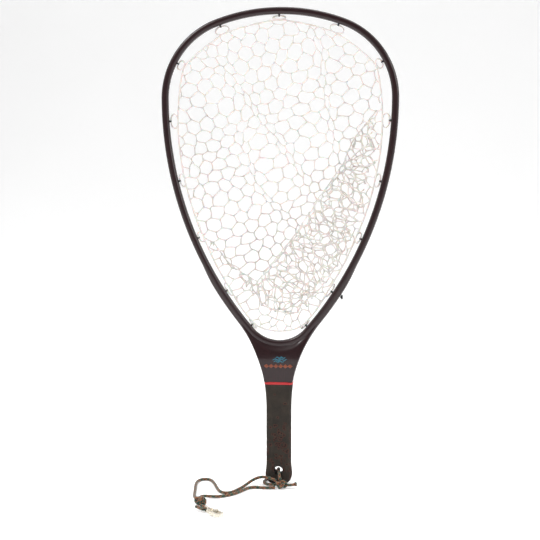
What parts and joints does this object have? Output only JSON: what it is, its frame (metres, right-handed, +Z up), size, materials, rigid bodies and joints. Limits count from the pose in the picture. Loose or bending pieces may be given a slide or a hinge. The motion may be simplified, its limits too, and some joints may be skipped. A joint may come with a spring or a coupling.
{
  "type": "landing net",
  "caption": "Hand landing net: teardrop composite hoop on a short grip, laced-in clear rubber mesh bag, and a cord lanyard with a swivel snap.",
  "frame": {"origin": "middle of the grip, where a hand or a holder holds the net upright; the butt is 72 mm below", "axes": "+Z up along the handle to the hoop, +X to the right across the hoop, +Y backwards, the side the bag hangs on"},
  "size_m": [0.326, 0.2993, 0.66],
  "materials": {
    "frame_composite": "satin clear-coated composite, very dark brown",
    "grip_foam": "matte pebbled moulded foam rubber, dark olive brown",
    "trim_red": "gloss red trim ring",
    "decal_print": null,
    "core_composite": "raw dark composite tube",
    "foam_white": "closed-cell float foam",
    "net_rubber": "clear soft rubber mesh, faintly warm white",
    "lacing_black": "waxed black nylon",
    "cord_camo": "braided nylon cord in dark green, tan and brown",
    "snap_nickel": "nickel plated, lightly scuffed",
    "spring_steel": "drawn steel wire"
  },
  "bodies": {
    "root": {"hoop": "frame_composite", "yoke": "frame_composite", "decal": "decal_print", "trim_band": "trim_red", "grip": "grip_foam", "handle_core": "core_composite", "foam_float": "foam_white", "net_bag": "net_rubber", "net_rim": "net_rubber", "lacing_cord": "lacing_black", "lacing_ties": "lacing_black", "lacing_knot": "lacing_black", "lanyard_hitch": "cord_camo", "lanyard_leg_upper": "cord_camo", "lanyard_leg_lower": "cord_camo", "lanyard_tail": "cord_camo", "butt_knot": "cord_camo", "snap_knot": "cord_camo", "lanyard_bight": "cord_camo", "swivel_eye": "snap_nickel"},
    "snap": {"snap_body": "snap_nickel", "gate_pin": "snap_nickel", "gate_spring": "spring_steel"},
    "gate": {"snap_gate": "snap_nickel"}
  },
  "joints": [
    {"name": "snap_swivel", "type": "hinge", "parent": "root", "child": "snap", "pos_m": [-0.07569, -0.15046, -0.0676], "axis": [0.6947, -0.7193, 0], "continuous": true},
    {"name": "gate_lever", "type": "hinge", "parent": "snap", "child": "gate", "pos_m": [-0.06592, -0.15395, -0.0676], "axis": [0, 0, -1], "range_deg": [0, 22], "stiffness_Nm_per_rad": 0.002, "springref_deg": -11.46}
  ]
}
